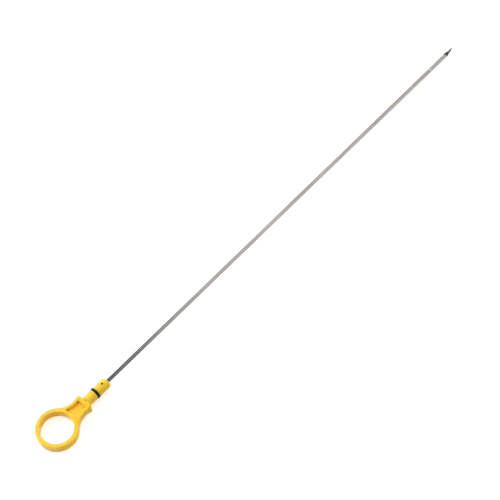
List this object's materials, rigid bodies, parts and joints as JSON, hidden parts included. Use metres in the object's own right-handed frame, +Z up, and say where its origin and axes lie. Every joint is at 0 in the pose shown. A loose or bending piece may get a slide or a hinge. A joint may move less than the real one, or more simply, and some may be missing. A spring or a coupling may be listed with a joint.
{
  "type": "engine oil dipstick",
  "caption": "Engine oil dipstick: moulded finger-ring handle with a flange and a sealed round shank, holding a long flat steel blade with a twisted, pointed end.",
  "frame": {"origin": "on the shank's axis, in the plane of the flange's seat, where the mouth of the tube bears", "axes": "+X along the shank and the blade, towards the tip; +Z up, square to the flat finger ring, with the dipstick laid down on the flange's lower edge and the twisted end of the blade"},
  "size_m": [0.5768, 0.0406, 0.012],
  "materials": {
    "handle_plastic": "moulded, satin to glossy, slightly translucent yellow",
    "seal_rubber": "smooth black rubber with a soft sheen",
    "blade_steel": "rolled strip, fine lengthwise grain"
  },
  "bodies": {
    "root": {"handle": "handle_plastic", "o_ring": "seal_rubber", "blade": "blade_steel"}
  },
  "joints": []
}
